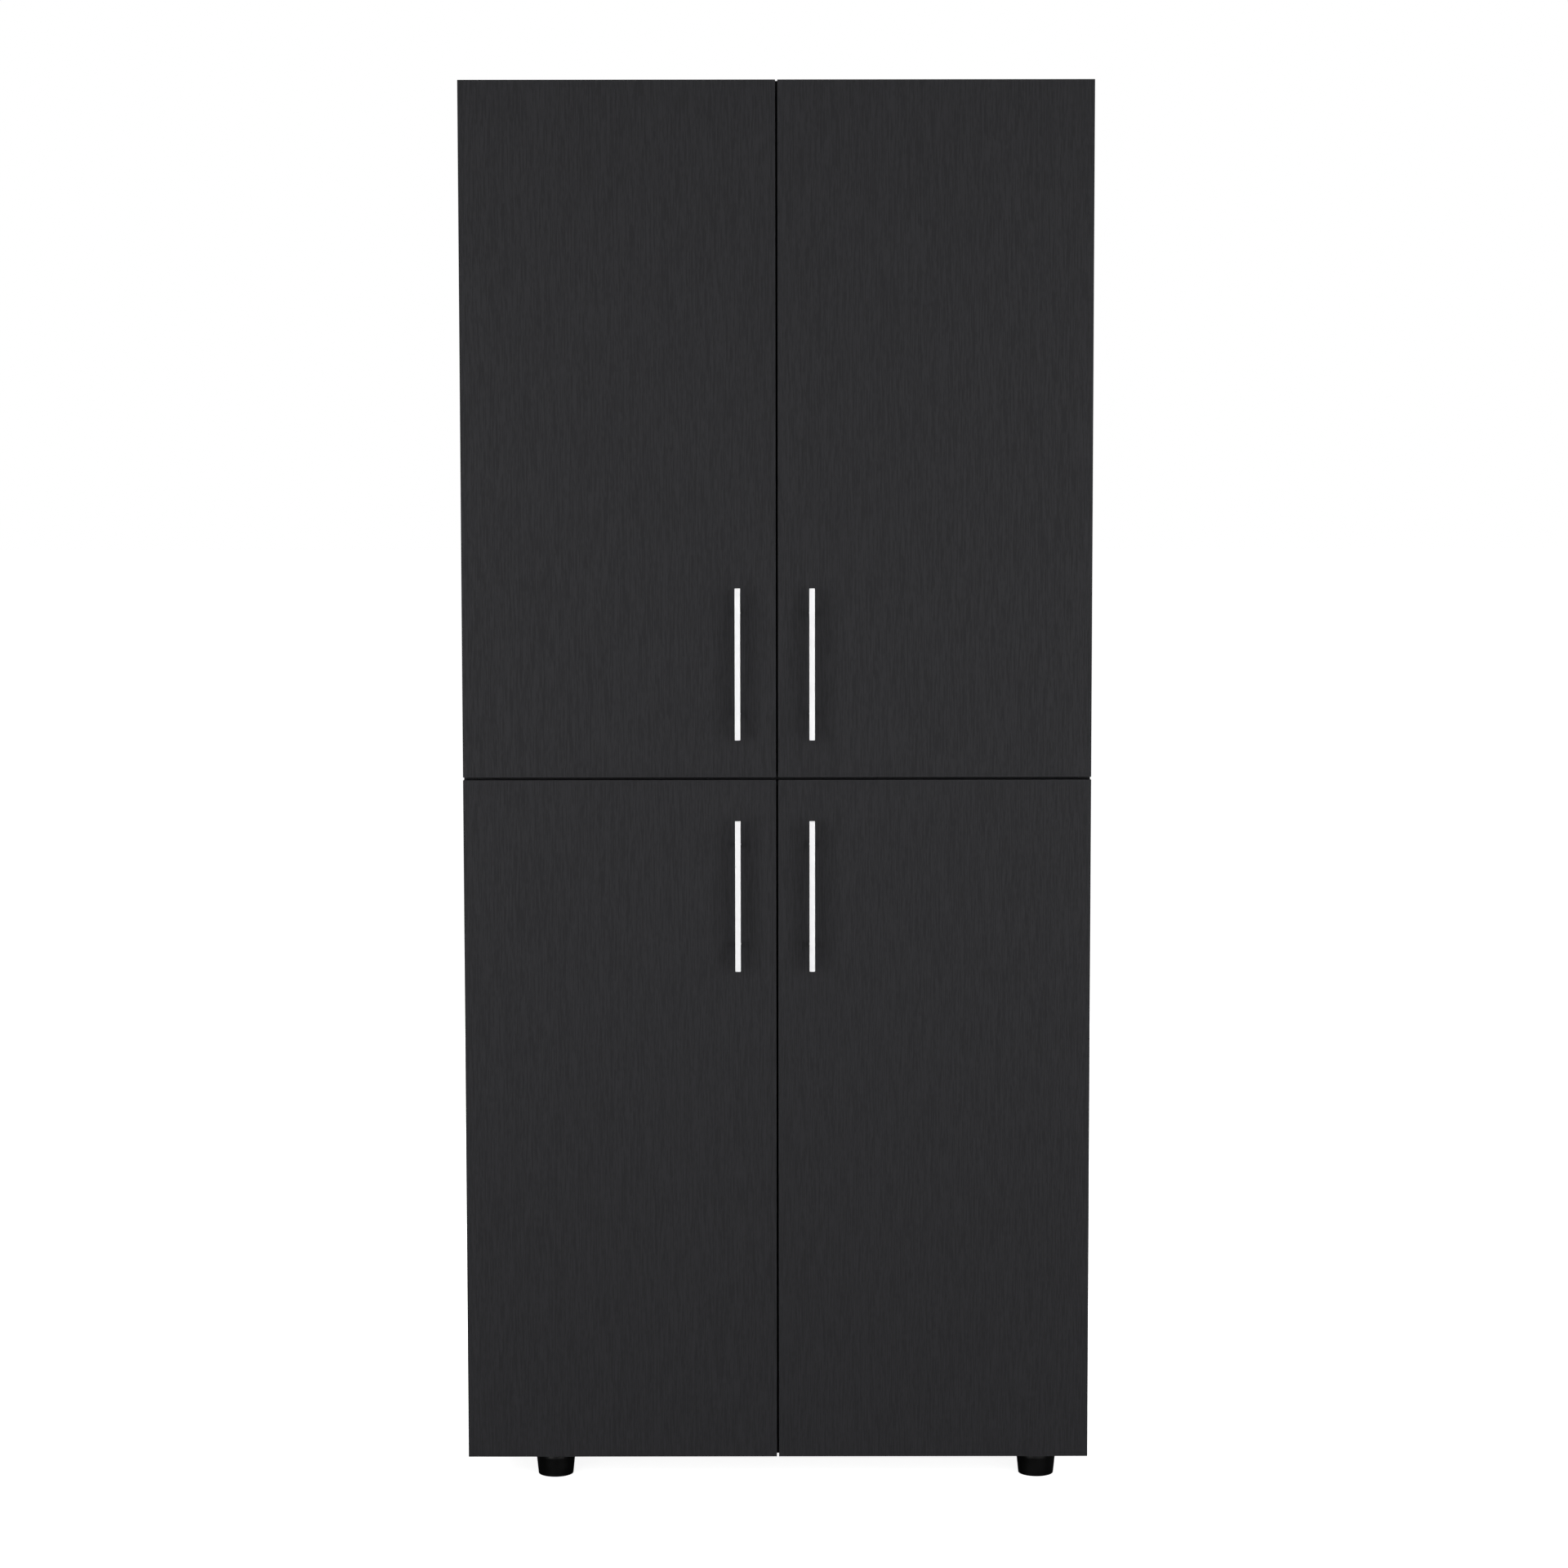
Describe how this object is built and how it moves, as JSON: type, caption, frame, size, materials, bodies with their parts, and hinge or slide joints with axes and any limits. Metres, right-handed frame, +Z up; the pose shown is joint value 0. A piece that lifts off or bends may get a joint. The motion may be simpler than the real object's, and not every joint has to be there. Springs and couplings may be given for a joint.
{
  "type": "pantry cabinet",
  "caption": "Tall free-standing pantry cabinet in dark wood-grain board, with hinged doors above and below, bar handles, inner shelves and short round feet.",
  "frame": {"origin": "centre of the bottom of the whole object's box, on the floor", "axes": "+Z up; the doors and handles face -Y and the back boards face +Y; +X to the right of a person facing the doors"},
  "size_m": [0.8, 0.432, 1.8],
  "materials": {
    "dark_melamine": "melamine-faced board with a fine upright grain in charcoal black, low sheen",
    "hardboard": "raw brown hardboard behind, dark painted inside",
    "strip_plastic": "extruded black plastic",
    "handle_satin": "satin light silver",
    "nickel_steel": "nickel-plated pressed steel",
    "foot_plastic": "glossy black moulded plastic"
  },
  "bodies": {
    "cabinet": {"back_board_lower": "hardboard", "back_board_upper": "hardboard", "back_joint_strip": "strip_plastic", "bottom_panel": "dark_melamine", "foot_front_left": "foot_plastic", "foot_front_right": "foot_plastic", "foot_rear_left": "foot_plastic", "foot_rear_right": "foot_plastic", "hinge_arm_lower_left_bottom": "nickel_steel", "hinge_arm_lower_left_top": "nickel_steel", "hinge_arm_lower_right_bottom": "nickel_steel", "hinge_arm_lower_right_top": "nickel_steel", "hinge_arm_upper_left_bottom": "nickel_steel", "hinge_arm_upper_left_top": "nickel_steel", "hinge_arm_upper_right_bottom": "nickel_steel", "hinge_arm_upper_right_top": "nickel_steel", "hinge_plate_lower_left_bottom": "nickel_steel", "hinge_plate_lower_left_top": "nickel_steel", "hinge_plate_lower_right_bottom": "nickel_steel", "hinge_plate_lower_right_top": "nickel_steel", "hinge_plate_upper_left_bottom": "nickel_steel", "hinge_plate_upper_left_top": "nickel_steel", "hinge_plate_upper_right_bottom": "nickel_steel", "hinge_plate_upper_right_top": "nickel_steel", "lower_shelf": "dark_melamine", "middle_panel": "dark_melamine", "peg_lower_shelf_back_left": "nickel_steel", "peg_lower_shelf_back_right": "nickel_steel", "peg_lower_shelf_front_left": "nickel_steel", "peg_lower_shelf_front_right": "nickel_steel", "peg_upper_shelf_1_back_left": "nickel_steel", "peg_upper_shelf_1_back_right": "nickel_steel", "peg_upper_shelf_1_front_left": "nickel_steel", "peg_upper_shelf_1_front_right": "nickel_steel", "peg_upper_shelf_2_back_left": "nickel_steel", "peg_upper_shelf_2_back_right": "nickel_steel", "peg_upper_shelf_2_front_left": "nickel_steel", "peg_upper_shelf_2_front_right": "nickel_steel", "side_panel_left": "dark_melamine", "side_panel_right": "dark_melamine", "top_panel": "dark_melamine", "upper_shelf_1": "dark_melamine", "upper_shelf_2": "dark_melamine"},
    "door_upper_left": {"door_upper_left": "dark_melamine", "handle_upper_left": "handle_satin", "hinge_cup_upper_left_bottom": "nickel_steel", "hinge_cup_upper_left_top": "nickel_steel"},
    "door_upper_right": {"door_upper_right": "dark_melamine", "handle_upper_right": "handle_satin", "hinge_cup_upper_right_bottom": "nickel_steel", "hinge_cup_upper_right_top": "nickel_steel"},
    "door_lower_left": {"door_lower_left": "dark_melamine", "handle_lower_left": "handle_satin", "hinge_cup_lower_left_bottom": "nickel_steel", "hinge_cup_lower_left_top": "nickel_steel"},
    "door_lower_right": {"door_lower_right": "dark_melamine", "handle_lower_right": "handle_satin", "hinge_cup_lower_right_bottom": "nickel_steel", "hinge_cup_lower_right_top": "nickel_steel"}
  },
  "joints": [
    {"name": "upper_left_door_swing", "type": "hinge", "parent": "cabinet", "child": "door_upper_left", "pos_m": [-0.394, -0.177, 1.36107], "axis": [0, 0, -1], "range_deg": [0, 95]},
    {"name": "upper_right_door_swing", "type": "hinge", "parent": "cabinet", "child": "door_upper_right", "pos_m": [0.394, -0.177, 1.36107], "axis": [0, 0, 1], "range_deg": [0, 95]},
    {"name": "lower_left_door_swing", "type": "hinge", "parent": "cabinet", "child": "door_lower_left", "pos_m": [-0.394, -0.177, 0.47992], "axis": [0, 0, -1], "range_deg": [0, 95]},
    {"name": "lower_right_door_swing", "type": "hinge", "parent": "cabinet", "child": "door_lower_right", "pos_m": [0.394, -0.177, 0.47992], "axis": [0, 0, 1], "range_deg": [0, 95]}
  ]
}
